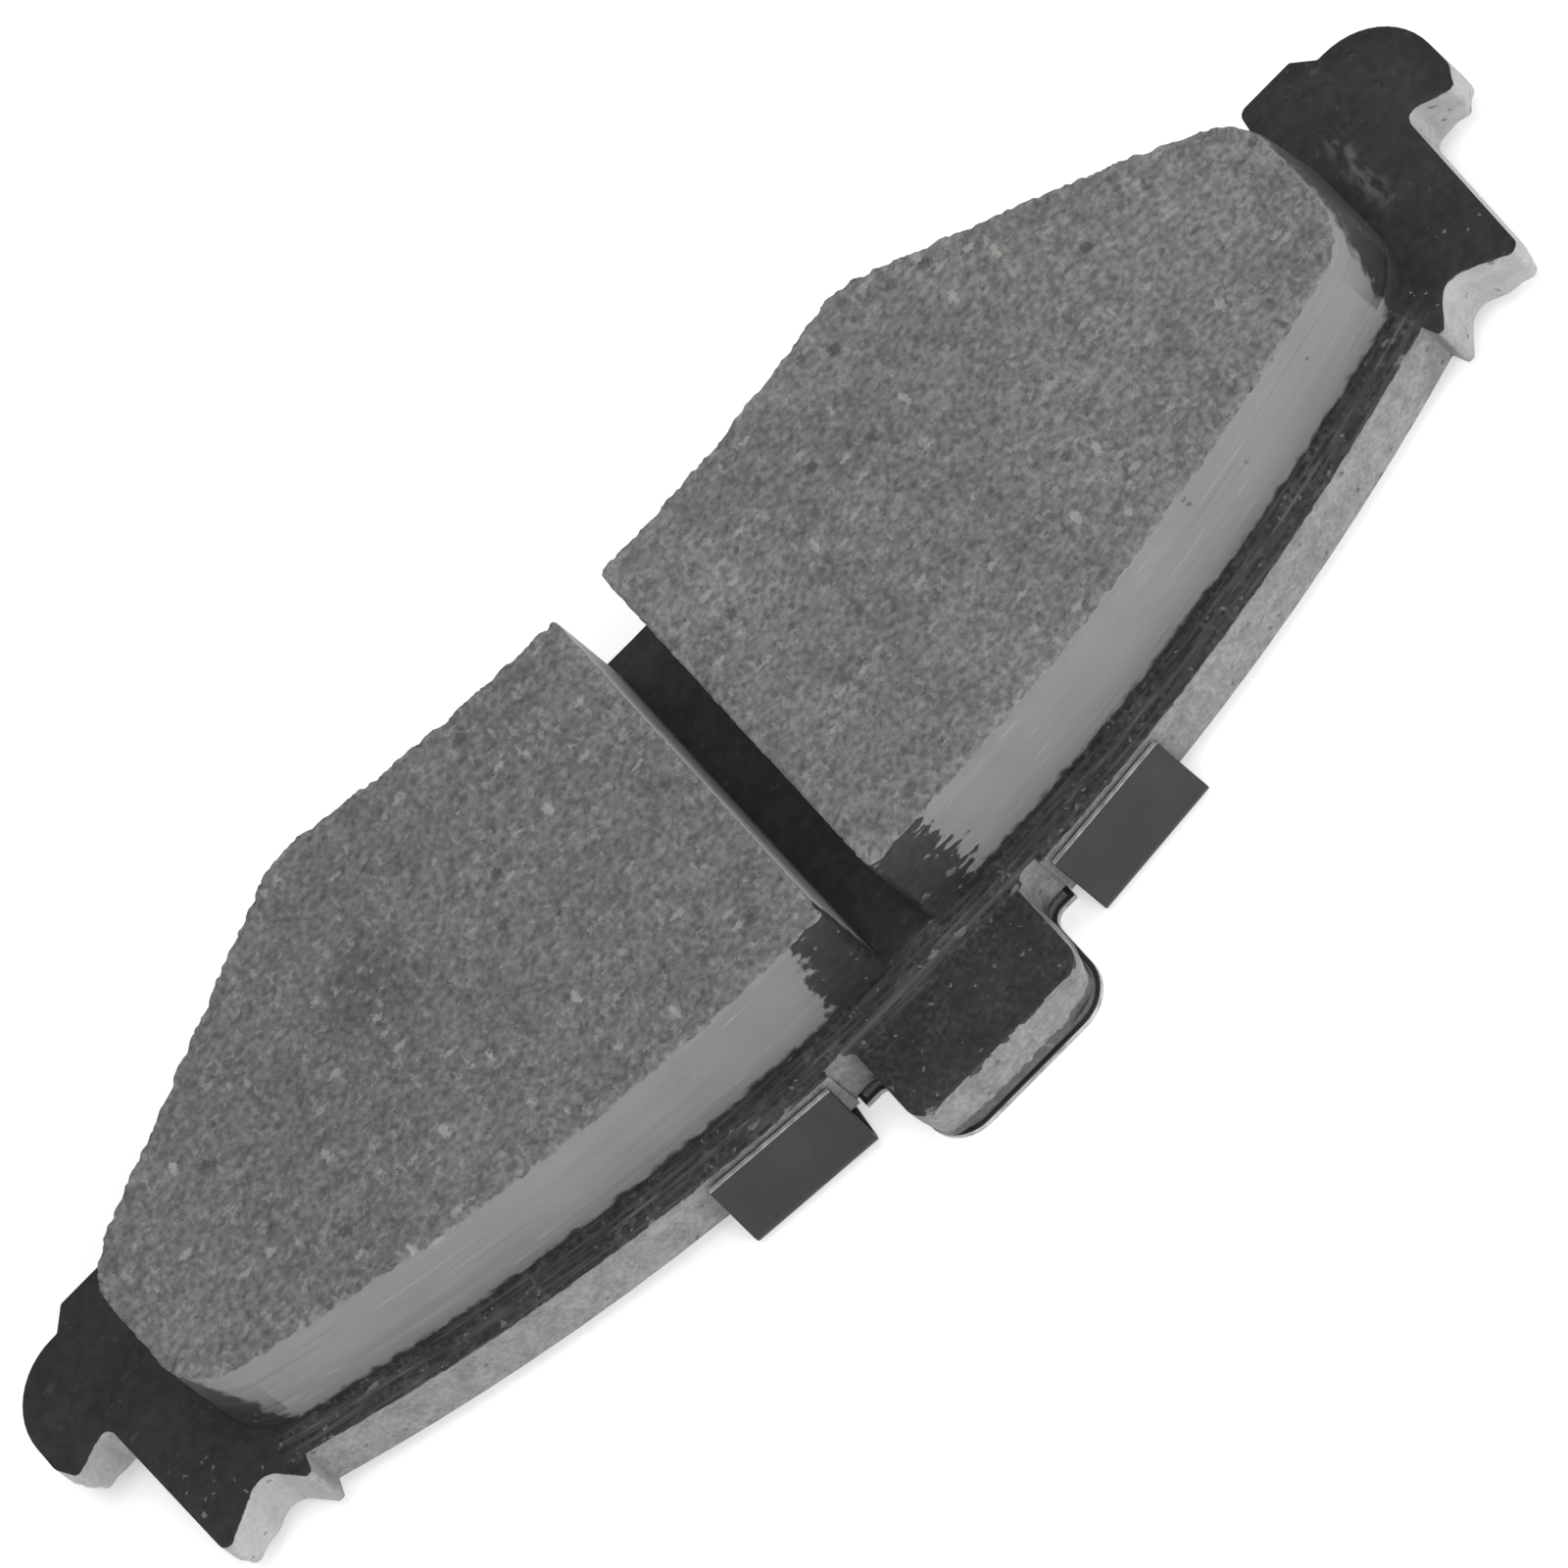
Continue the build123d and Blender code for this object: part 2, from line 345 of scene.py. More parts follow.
def make_mottle_group():
    """Soft uneven tone at one size, between two values."""
    noise_range = {"From Min": 0.3, "From Max": 0.7}
    group, given, out = new_group(
        "mottle",
        [
            ("Place", "Vector", None),
            ("Size", "Float", 1.0),
            ("Detail", "Float", 2.0),
            ("Low", "Float", 0.8),
            ("High", "Float", 1.2),
        ],
        [("Value", "Float")],
    )
    density = sum_node(group, "DIVIDE", 1.0, given["Size"])
    noise = add(group, "TexNoise", {"Vector": given["Place"], "Scale": density, "Detail": given["Detail"]})
    ends = {**noise_range, "To Min": given["Low"], "To Max": given["High"]}
    spread = add(group, "MapRange", {"Value": noise.outputs[0], **ends})
    group.links.new(spread.outputs[0], out["Value"])
    return group


flecks = make_flecks_group()
mottle = make_mottle_group()


def spots(tree, place, cell, share, width, seed, ways=(1, 1, 1)):
    """Flecks, a share of the cells holding one of a width, drawn out along the axes."""
    given = {"Cell": cell, "Share": share, "Width": width, "Seed": seed, "Stretch": ways}
    return place_group(tree, flecks, Place=place, **given)[0]


def cloudy(tree, place, size, low, high, detail=2.0):
    """Mottle of one size, between a low and a high value."""
    return place_group(tree, mottle, Place=place, Size=size, Low=low, High=high, Detail=detail)[0]


def make_paint_group():
    """Thin black sprayed paint: cloudy, dusty, with fine rubbed marks."""
    group, given, out = new_group(
        "black_paint",
        [("Place", "Vector", None), ("Dust", "Float", 0.5)],
        [("Colour", "Color"), ("Roughness", "Float"), ("Height", "Float")],
    )
    place = given["Place"]
    fine = cloudy(group, place, 0.8, 0.72, 1.3)
    base = tone(group, paint_colour, cloudy(group, place, 6.0, 0.85, 1.4), fine)
    dust = spots(group, place, cell=0.7, share=0.16, width=0.16, seed=3.0)
    specks = spots(group, place, cell=1.6, share=0.1, width=0.15, seed=9.0, ways=(0.6, 1.5, 1.0))
    dusty = times(group, largest(group, dust, specks), given["Dust"])
    group.links.new(blend_colour(group, dusty, base, paint_dust_colour), out["Colour"])
    group.links.new(cloudy(group, place, 1.2, 0.42, 0.62, detail=3.0), out["Roughness"])
    group.links.new(fine, out["Height"])
    return group


black_paint = make_paint_group()


def arc_inset(tree, place):
    """How far in a place is from the plate's outer arc."""
    centre = (0, (arc_middle_y + arc_radius) * in_mm, 0)
    from_centre = add(tree, "VectorMath", {0: place, 1: centre}, operation="SUBTRACT").outputs[0]
    flat = stretch(tree, from_centre, (1, 1, 0))
    radius = add(tree, "VectorMath", {0: flat}, operation="LENGTH").outputs["Value"]
    return minus(tree, arc_radius * in_mm, radius)


def ledge_marks_and_highlight(tree, place, axes, inset, ledge, broken):
    """Marks on the ledge: a painted highlight line along its middle, scratches along the arc, and grit."""
    across = distance(tree, axes["X"])
    arc_end = ramp(tree, across, *arc_end_fade)
    # A thin light line along the ledge: a painted highlight of the front edge.
    highlight_line = ramp(tree, distance(tree, inset, highlight_line_inset), *thin_line)
    highlight_line = times(tree, seen_through(tree, highlight_line, broken), arc_end, 0.6)

    on_ledge = times(tree, ledge, arc_end, ramp(tree, inset, *ledge_outer_fade))
    near_lug = times(tree, ramp(tree, across, *lug_fade), 0.4)
    gritty = times(tree, largest(tree, on_ledge, near_lug), cloudy(tree, place, 2.5, 0.2, 1.1))
    outside_blocks = ramp(tree, axes["Y"], *block_foot_fade)
    past_middle = ramp(tree, across, *block_end_fade)
    gritty = times(tree, gritty, largest(tree, outside_blocks, past_middle))
    grit = cloudy(tree, place, 0.5, -0.35, 0.95, detail=4.0)
    grit = times(tree, seen_through(tree, grit, gritty), 0.55)

    round_arc = add(tree, "CombineXYZ", {0: times(tree, inset, 1.9), 1: axes["X"]}).outputs[0]
    scratches = cloudy(tree, stretch(tree, round_arc, (1, 0.12, 1)), 0.8, -0.5, 0.9, detail=3.0)
    scratches = times(tree, scratches, ramp(tree, inset, *scratch_outer_fade))
    scratches = times(tree, seen_through(tree, scratches, on_ledge), 0.45)
    return largest(tree, highlight_line, grit, scratches)


def handling_wear_and_highlights(tree, place, axes, step_y, broken):
    """Marks off the ledge: painted highlights on the lug's coined step and the front edge's rounding, and
    a scuff on one ear.
    """
    # The lug's coined step is painted lighter: a painted highlight where its wall faces the light.
    step = ramp(tree, distance(tree, axes["Y"], step_y * in_mm), *thin_line)
    step = times(tree, step, ramp(tree, distance(tree, axes["X"]), *lug_step_fade), 0.45)
    streak_across = ramp(tree, distance(tree, axes["X"], streak_centre[0]), *streak_width_fade)
    streak_along = ramp(tree, distance(tree, axes["Y"], streak_centre[1]), *streak_length_fade)
    scuffs = cloudy(tree, stretch(tree, place, (1.3, 0.6, 1)), 0.8, -0.5, 1.1, detail=4.0)
    streak = seen_through(tree, times(tree, streak_across, streak_along), scuffs)
    # The rounding of the front edge is painted lighter: a painted highlight.
    edge_highlight = seen_through(tree, attribute(tree, "rounded_edge"), broken)
    return largest(tree, step, times(tree, streak, 0.5), times(tree, edge_highlight, 0.35))


def bare_steel(tree, place, axes):
    """Where steel shows below a ragged line under the front edge, and its colour."""
    across = distance(tree, axes["X"])
    on_lug = ramp(tree, across, *lug_wall_fade)
    lug_rag = cloudy(tree, place, 1.1, -0.5, 1.1, detail=4.0)
    rag = plus(tree, cloudy(tree, place, 0.8, 0.0, 0.3, detail=4.0), times(tree, on_lug, lug_rag))
    below = minus(tree, plate_front * in_mm, axes["Z"])
    bare = ramp(tree, minus(tree, below, rag), *bare_steel_fade)
    # Along the lug's foot the wall keeps the black paint: paint on the rolled back edge, and painted shade
    # under the roll.
    rolled = ramp(tree, plus(tree, axes["Z"], times(tree, lug_rag, 0.6)), *rolled_fade)
    rolled = times(tree, rolled, on_lug, 0.75)
    bare = times(tree, bare, attribute(tree, "sheared"), minus(tree, 1.0, rolled))

    # Bare steel on the ears is painted brighter and less blotchy: a painted highlight.
    on_ear = ramp(tree, across, *ear_fade)
    metal = blend_colour(tree, on_ear, steel_colour, ear_highlight_steel_colour)
    lug_dirt = seen_through(tree, cloudy(tree, place, 1.0, -0.3, 1.0, detail=4.0), on_lug)
    metal = blend_colour(tree, times(tree, lug_dirt, 0.5), metal, paint_dust_colour)
    blotch = cloudy(tree, place, 1.6, 0.78, 1.2, detail=4.0)
    fine = cloudy(tree, place, 0.4, 0.82, 1.16, detail=3.0)
    patchiness = minus(tree, 1.0, times(tree, on_ear, 0.6))
    metal = tone(tree, metal, blend_value(tree, patchiness, 1.0, times(tree, blotch, fine)))
    pits = spots(tree, place, cell=1.0, share=0.22, width=0.16, seed=5.0)
    return bare, blend_colour(tree, times(tree, pits, 0.55), metal, paint_colour)


def make_plate_material(step_y):
    """Black paint over steel, worn to bare metal on the sheared edge, with painted highlights on the
    ledge, the lug's step and the front edge.
    """
    material, tree, shader, place = new_material("painted_plate")
    axes = split_axes(tree, place)
    inset = arc_inset(tree, place)
    ledge = ramp(tree, inset, *ledge_fade)
    paint = place_group(tree, black_paint, Place=place, Dust=plus(tree, times(tree, ledge, 0.75), 0.15))
    broken = cloudy(tree, place, 2.5, -0.2, 1.2, detail=3.0)
    on_ledge = ledge_marks_and_highlight(tree, place, axes, inset, ledge, broken)
    # Light marks on the paint: dust, grit and scratches, and the painted highlights of the ledge line, the
    # lug's step and the front edge.
    light_marks = largest(tree, on_ledge, handling_wear_and_highlights(tree, place, axes, step_y, broken))
    painted = blend_colour(tree, light_marks, paint["Colour"], paint_dust_colour)
    bare, metal = bare_steel(tree, place, axes)
    roughness = blend_value(tree, bare, paint["Roughness"], 0.5)
    colour = blend_colour(tree, bare, painted, metal)
    connect(tree, shader, colour, roughness, paint["Height"], strength=0.25, depth=0.00005)
    shader.inputs["Specular IOR Level"].default_value = paint_shine
    return material


def roll_corner(piece, corner, way, roll, reach):
    """Rolls the back edge away at one corner that stands out, softly into its surroundings."""
    for vertex in piece.data.vertices:
        at_back = vertex.co.z < plate_back + back_band
        vertex.select = at_back and (vertex.co.xy - corner.xy).length < corner_band
    bpy.ops.object.mode_set(mode="EDIT")
    bpy.ops.transform.translate(
        value=(-way * roll[0], roll[1], roll[2]),
        use_proportional_edit=True,
        use_proportional_connected=True,
        proportional_edit_falloff="SMOOTH",
        proportional_size=reach,
    )
    bpy.ops.mesh.select_all(action="DESELECT")
    bpy.ops.object.mode_set(mode="OBJECT")


def is_sheared(face):
    """Whether a plate face is on the wall, below the lug's coined step."""
    lowest = min(backing_plate.data.vertices[i].co.z for i in face.vertices)
    return abs(face.normal.z) < wall_slope and lowest < plate_front - 2 * lug_step


def is_front_rounding(face):
    """Whether a plate face is on the rounding of the front edge."""
    tilted = rounding_slopes[0] < face.normal.z < rounding_slopes[1]
    return tilted and face.center.z > plate_front - rounding_band


backing_plate = new_piece("backing_plate_painted", "backing_plate")
lug_step_y = max(
    vertex.co.y
    for vertex in backing_plate.data.vertices
    if abs(vertex.co.z - plate_front + lug_step) < same_level and abs(vertex.co.x) < lug_half_reach
)
round_edges(backing_plate, front_edge_round, segments=3)

bpy.ops.object.mode_set(mode="EDIT")
cut_by_planes(-ear_cuts[1], -ear_cuts[0], cut_pitch, (1, 0, 0))
cut_by_planes(*lug_cuts, cut_pitch, (1, 0, 0))
cut_by_planes(*ear_cuts, cut_pitch, (1, 0, 0))
cut_by_planes(*outer_edge_cuts, cut_pitch, (0, 1, 0))
cut_by_planes(*back_cuts, cut_pitch, (0, 0, 1))
bpy.ops.mesh.select_all(action="DESELECT")
bpy.ops.object.mode_set(mode="OBJECT")
for way in (-1, 1):
    at_back = [v.co.copy() for v in backing_plate.data.vertices if v.co.z < plate_back + back_band]
    bar_corner = min((co for co in at_back if co.x * way > bar_corner_from), key=lambda co: co.y)
    hook_tip = min((co for co in at_back if co.x * way > hook_tip_from), key=lambda co: co.y)
    lug_end = [co for co in at_back if abs(co.x) < lug_corner_within]
    lug_corner = max(lug_end, key=lambda co: co.x * way - co.y)
    roll_corner(backing_plate, bar_corner, way, bar_roll, ear_roll_reach)
    roll_corner(backing_plate, hook_tip, way, hook_roll, ear_roll_reach)
    lug_move = (lug_roll[way], lug_roll[way], lug_roll[way] / 3)
    roll_corner(backing_plate, lug_corner, way, lug_move, lug_roll_reach)

mark_faces(backing_plate, "sheared", is_sheared)
mark_faces(backing_plate, "rounded_edge", is_front_rounding)
smooth(backing_plate, plate_smooth_angle)
backing_plate.data.materials.append(make_plate_material(lug_step_y))
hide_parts("backing_plate")
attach(backing_plate, "root")

# ---- Adhesive films ----
# Phenolic adhesive, rolled on the plate before moulding and cured to a thin
# brown film. Only its edge shows, as a line at the foot of each block.
film_colour = (0.03, 0.026, 0.022, 1)


def finish_node(node, material):
    """Gives a CAD node its material."""
    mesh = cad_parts[node].data
    mesh.materials.clear()
    mesh.materials.append(material)


def make_film_material():
    """Cured adhesive, uneven in tone and shine."""
    material, tree, shader, place = new_material("cured_adhesive")
    colour = tone(tree, film_colour, cloudy(tree, place, 0.8, 0.75, 1.25, detail=3.0))
    connect(tree, shader, colour, cloudy(tree, place, 0.5, 0.4, 0.6))
    return material


film_material = make_film_material()
for side in ("left", "right"):
    finish_node("adhesive_film_" + side, film_material)

# ---- Underlayers ----
# A moulded layer between the friction mix and the plate, pressed through the
# plate's holes to key the block on. Its wall runs on flush with the block's, and
# both were ground together before the black paint went on.
wall_colour = (0.17, 0.17, 0.166, 1)
wall_scuff_colour = (0.27, 0.27, 0.26, 1)
wall_dust = 0.6

# Black on the walls, in millimetres: an overspray patch each side of the slot by the
# lug, the blocks' ends, overspray and painted shade, and a dark band along the foot
# of the walls, but not the walls inside the slot.
wall_foot = plate_front * in_mm
left_patch_edge = (-8.3, -7.8)
left_patch_slant = 0.23
right_patch_edge = (7.8, 7.2)
patch_middle = 0.2
outer_wall_fade = (arc_middle_y * in_mm + 8.0, arc_middle_y * in_mm + 7.0)
slot_wall_fade = (2.42, 2.5)
slot_mouth_fade = (-12.2, -13.2)
dark_end_from = 58.2
dark_end_slant = 0.28
dark_end_fade = (-0.3, 0.5)
dark_end_top = (10.6, 10.1)
dark_foot_top = (0.9, 0.2)


def make_overspray_and_shade_group():
    """Where a block's wall is black: overspray, with painted shade at the ends and a dark band along the
    foot.
    """
    group, given, out = new_group("overspray_and_shade", [("Place", "Vector", None)], [("Mask", "Float")])
    place = given["Place"]
    axes = split_axes(group, place)
    wander = cloudy(group, place, 1.3, -0.8, 0.8, detail=4.0)
    fingers = cloudy(group, stretch(group, place, (0.3, 0.3, 1.0)), 0.9, -1.6, 1.6)
    across = plus(group, axes["X"], wander)
    height = minus(group, axes["Z"], wall_foot)
    height_ragged = plus(group, height, times(group, wander, 0.5))

    slanted = minus(group, across, times(group, height, left_patch_slant))
    left = times(
        group, ramp(group, slanted, *left_patch_edge), ramp(group, across, patch_middle, 0.0)
    )
    right_edge = ramp(group, plus(group, across, fingers), *right_patch_edge)
    right = times(group, right_edge, ramp(group, across, -patch_middle, 0.0))
    patches = times(group, largest(group, left, right), ramp(group, axes["Y"], *outer_wall_fade))
    out_of_slot = ramp(group, distance(group, axes["X"]), *slot_wall_fade)
    slot_mouth = ramp(group, plus(group, axes["Y"], wander), *slot_mouth_fade)
    out_of_slot = largest(group, out_of_slot, slot_mouth)

    # The blocks' ends go black: overspray, and painted shade where the wall turns away from the light.
    end_line = plus(group, times(group, height, dark_end_slant), dark_end_from)
    past_end = minus(group, distance(group, axes["X"]), end_line)
    ends = ramp(group, plus(group, past_end, times(group, wander, 0.6)), *dark_end_fade)
    ends = times(group, ends, ramp(group, height_ragged, *dark_end_top))
    # A dark band along the foot of the wall.
    dark_foot = times(group, ramp(group, height_ragged, *dark_foot_top), out_of_slot)
    group.links.new(largest(group, times(group, patches, out_of_slot), ends, dark_foot), out["Mask"])
    return group


def make_wall_group():
    """A ground wall: smooth grey, with faint streaks and short scratches along the pad."""
    group, given, out = new_group(
        "ground_wall",
        [("Place", "Vector", None)],
        [("Colour", "Color"), ("Roughness", "Float"), ("Height", "Float")],
    )
    place = given["Place"]
    along = stretch(group, place, (0.05, 0.05, 1.6))
    long_streak = cloudy(group, along, 1.0, 0.92, 1.08, detail=3.0)
    cloud = cloudy(group, place, 7.0, 0.95, 1.06)
    colour = tone(group, wall_colour, long_streak, cloud)
    thin = {"Vector": stretch(group, place, (0.12, 0.12, 4.5)), "Scale": 0.6, "Detail": 1.0}
    thin_streak = add(group, "TexNoise", thin).outputs[0]
    light_marks = times(group, ramp(group, thin_streak, 0.66, 0.74), 0.35)
    colour = blend_colour(group, light_marks, colour, wall_scuff_colour)
    short = {"Vector": stretch(group, place, (0.3, 0.3, 2.6)), "Scale": 0.7, "Detail": 2.0}
    scratch = ramp(group, add(group, "TexNoise", short).outputs[0], 0.62, 0.7)
    scratch = seen_through(group, scratch, cloudy(group, place, 9.0, -0.8, 1.2, detail=1.0))
    colour = blend_colour(group, times(group, scratch, 0.6), colour, wall_scuff_colour)
    dark = times(group, ramp(group, thin_streak, 0.33, 0.27), 0.2)
    colour = blend_colour(group, dark, colour, paint_colour)
    pits = times(group, spots(group, place, cell=1.7, share=0.05, width=0.12, seed=2.0), 0.6)
    group.links.new(blend_colour(group, pits, colour, paint_colour), out["Colour"])
    group.links.new(cloudy(group, along, 1.0, 0.55, 0.75), out["Roughness"])
    group.links.new(thin_streak, out["Height"])
    return group


overspray_and_shade = make_overspray_and_shade_group()
ground_wall = make_wall_group()


def make_underlayer_material():
    """The block's wall colour, under the same overspray, painted shade and dark foot."""
    material, tree, shader, place = new_material("moulded_underlayer")
    wall = place_group(tree, ground_wall, Place=place)
    paint = place_group(tree, black_paint, Place=place, Dust=wall_dust)
    paint_and_shade_mask = place_group(tree, overspray_and_shade, Place=place)[0]
    colour = blend_colour(tree, paint_and_shade_mask, wall["Colour"], paint["Colour"])
    connect(tree, shader, colour, wall["Roughness"], wall["Height"], strength=0.2, depth=0.00005)
    return material


underlayer_material = make_underlayer_material()
for side in ("left", "right"):
    finish_node("underlayer_" + side, underlayer_material)

# ---- Friction blocks ----
# Hot-pressed friction mix: resin, fibres, abrasives and steel chips. The rubbing
# face is ground flat and open-grained, and crumbs have broken off its rim. The
# right block's end has crumbled the most.
grid_pitch = 0.002
face_cuts = 6
rim_band = 0.0014
rim_reach = 0.0011
grain_depth = 0.00008
pit_depth = 0.00020
rim_drop = 0.00040
rim_set_back = 0.00026
worn_end_set_back = 0.00095
worn_end_length = 0.004
worn_end_height = 0.004
worn_corner_reach = 0.009
worn_corner_band = 0.007
block_smooth_angle = 50
face_slope = 0.9
block_wall_slope = 0.1
face_colour = (0.133, 0.132, 0.127, 1)
chip_colour = (0.27, 0.27, 0.26, 1)
pit_colour = (0.045, 0.045, 0.043, 1)
smudge_centre = (-32.0, 11.0, 17.5)
smudge_fade = (1.5, 7.0)

# Cell, share, width, stretch, seed, colour and amount of each kind of speck.
speck_kinds = (
    (0.9, 0.30, 0.22, (1, 1, 1), 1.0, pit_colour, 0.45),
    (0.8, 0.28, 0.22, (0.6, 1.4, 1), 4.0, chip_colour, 0.38),
    (0.9, 0.22, 0.22, (1.4, 0.6, 1), 14.0, chip_colour, 0.42),
    (1.5, 0.14, 0.18, (0.6, 1.4, 1), 6.0, chip_colour, 0.7),
    (2.2, 0.08, 0.16, (1.4, 0.7, 1), 8.0, chip_colour, 0.9),
    (2.4, 0.08, 0.16, (1.0, 1.0, 1), 11.0, pit_colour, 0.75),
)


def make_noise_texture(name, size, start, stop):
    """Lumpy noise that rises from 0 at one level to 1 at another."""
    texture = bpy.data.textures.new(name, "CLOUDS")
    texture.noise_scale = size
    texture.noise_depth = 2
    texture.use_color_ramp = True
    elements = texture.color_ramp.elements
    elements[0].position = start
    elements[0].color = (0, 0, 0, 1)
    elements[1].position = stop
    elements[1].color = (1, 1, 1, 1)
    return texture


grain_texture = make_noise_texture("face_grain", size=0.00055, start=0.25, stop=0.75)
pit_texture = make_noise_texture("face_pits", size=0.0009, start=0.62, stop=0.74)
crumb_texture = make_noise_texture("rim_crumbs", size=0.0021, start=0.35, stop=0.8)
nibble_texture = make_noise_texture("rim_nibbles", size=0.0008, start=0.35, stop=0.8)


def cut_block(piece, low, high):
    """Cuts a block's face and the band below its rim into a fine grid."""
    bpy.ops.object.mode_set(mode="EDIT")
    cut_by_planes(low.x, high.x, grid_pitch, (1, 0, 0))
    cut_by_planes(low.y, high.y, grid_pitch, (0, 1, 0))
    bpy.ops.mesh.select_all(action="SELECT")
    bpy.ops.mesh.bisect(plane_co=(0, 0, high.z - rim_band), plane_no=(0, 0, 1))
    bpy.ops.mesh.select_mode(type="FACE")
    bpy.ops.mesh.select_all(action="DESELECT")
    bpy.ops.object.mode_set(mode="OBJECT")
    for face in piece.data.polygons:
        face.select = face.center.z > high.z - rim_band
    bpy.ops.object.mode_set(mode="EDIT")
    bpy.ops.mesh.quads_convert_to_tris()
    bpy.ops.mesh.tris_convert_to_quads()
    bpy.ops.mesh.subdivide(number_cuts=face_cuts)
    bpy.ops.mesh.select_mode(type="VERT")
    bpy.ops.object.mode_set(mode="OBJECT")


def share_left(gone, reach):
    """What is left of 1 after some of a reach is gone, and nothing past it."""
    return max(0.0, 1.0 - gone / reach)


def find_wear(mesh, high_x, high_z):
    """How much each point is on the face, on the rim by side, and on the worn end."""
    tops = [face for face in mesh.polygons if face.normal.z > face_slope]
    walls = [face for face in mesh.polygons if abs(face.normal.z) < block_wall_slope]
    both = {i for face in tops for i in face.vertices} & {i for face in walls for i in face.vertices}
    rim = sorted(i for i in both if mesh.vertices[i].co.z > high_z - same_level)
    nearest = KDTree(len(rim))
    for number, index in enumerate(rim):
        nearest.insert(mesh.vertices[index].co, number)
    nearest.balance()
    worn_y = max(v.co.y for v in mesh.vertices if abs(v.co.x) > high_x - worn_corner_band)
    worn_corner = Vector((high_x, worn_y))
    names = ("face", "rim", "east", "west", "north", "south", "worn_end", "worn_corner")
    wear = {name: [] for name in names}
    for vertex in mesh.vertices:
        point = vertex.co
        number, from_rim = nearest.find(point)[1:]
        on_rim = share_left(from_rim, rim_reach)
        wall = mesh.vertices[rim[number]].normal
        outward = Vector((wall.x, wall.y, 0)).normalized()
        high_up = share_left(high_z - point.z, worn_end_height)
        near_end = share_left(high_x - abs(point.x), worn_end_length)
        from_corner = (Vector((abs(point.x), point.y)) - worn_corner).length
        wear["face"].append(1.0 if point.z > high_z - same_level else 0.0)
        wear["rim"].append(on_rim)
        wear["east"].append(on_rim * max(0.0, outward.x))
        wear["west"].append(on_rim * max(0.0, -outward.x))
        wear["north"].append(on_rim * max(0.0, outward.y))
        wear["south"].append(on_rim * max(0.0, -outward.y))
        wear["worn_end"].append(high_up * near_end)
        wear["worn_corner"].append(high_up * share_left(from_corner, worn_corner_reach))
    return wear


def make_block(side):
    """One friction block with an open-grained face and a crumbled rim."""
    node = "friction_block_" + side
    low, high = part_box(node)
    piece = new_piece(node + "_pressed", node)
    cut_block(piece, low, high)
    wear = find_wear(piece.data, max(abs(low.x), abs(high.x)), high.z)
    for name, weights in wear.items():
        group = piece.vertex_groups.new(name=name)
        for index, weight in enumerate(weights):
            if weight > 0:
                group.add([index], weight, "REPLACE")
    for name, weights in (("open_grain", wear["face"]), ("rim_wear", wear["rim"])):
        mask = piece.data.attributes.new(name, "FLOAT", "POINT")
        mask.data.foreach_set("value", weights)

    moves = [
        ("face", grain_texture, "Z", -grain_depth),
        ("face", pit_texture, "Z", -pit_depth),
        ("rim", crumb_texture, "Z", -rim_drop),
        ("east", nibble_texture, "X", -rim_set_back),
        ("west", nibble_texture, "X", rim_set_back),
        ("north", nibble_texture, "Y", -rim_set_back),
        ("south", nibble_texture, "Y", rim_set_back),
    ]
    if side == "right":
        moves.append(("worn_end", None, "X", -worn_end_set_back))
        moves.append(("worn_corner", None, "Y", -worn_end_set_back))
    for group_name, texture, direction, strength in moves:
        modifier = piece.modifiers.new(group_name, "DISPLACE")
        modifier.texture = texture
        modifier.texture_coords = "LOCAL"
        modifier.direction = direction
        modifier.vertex_group = group_name
        modifier.mid_level = 0.0
        modifier.strength = strength
    apply_modifiers(piece)
    smooth(piece, block_smooth_angle)
    return piece


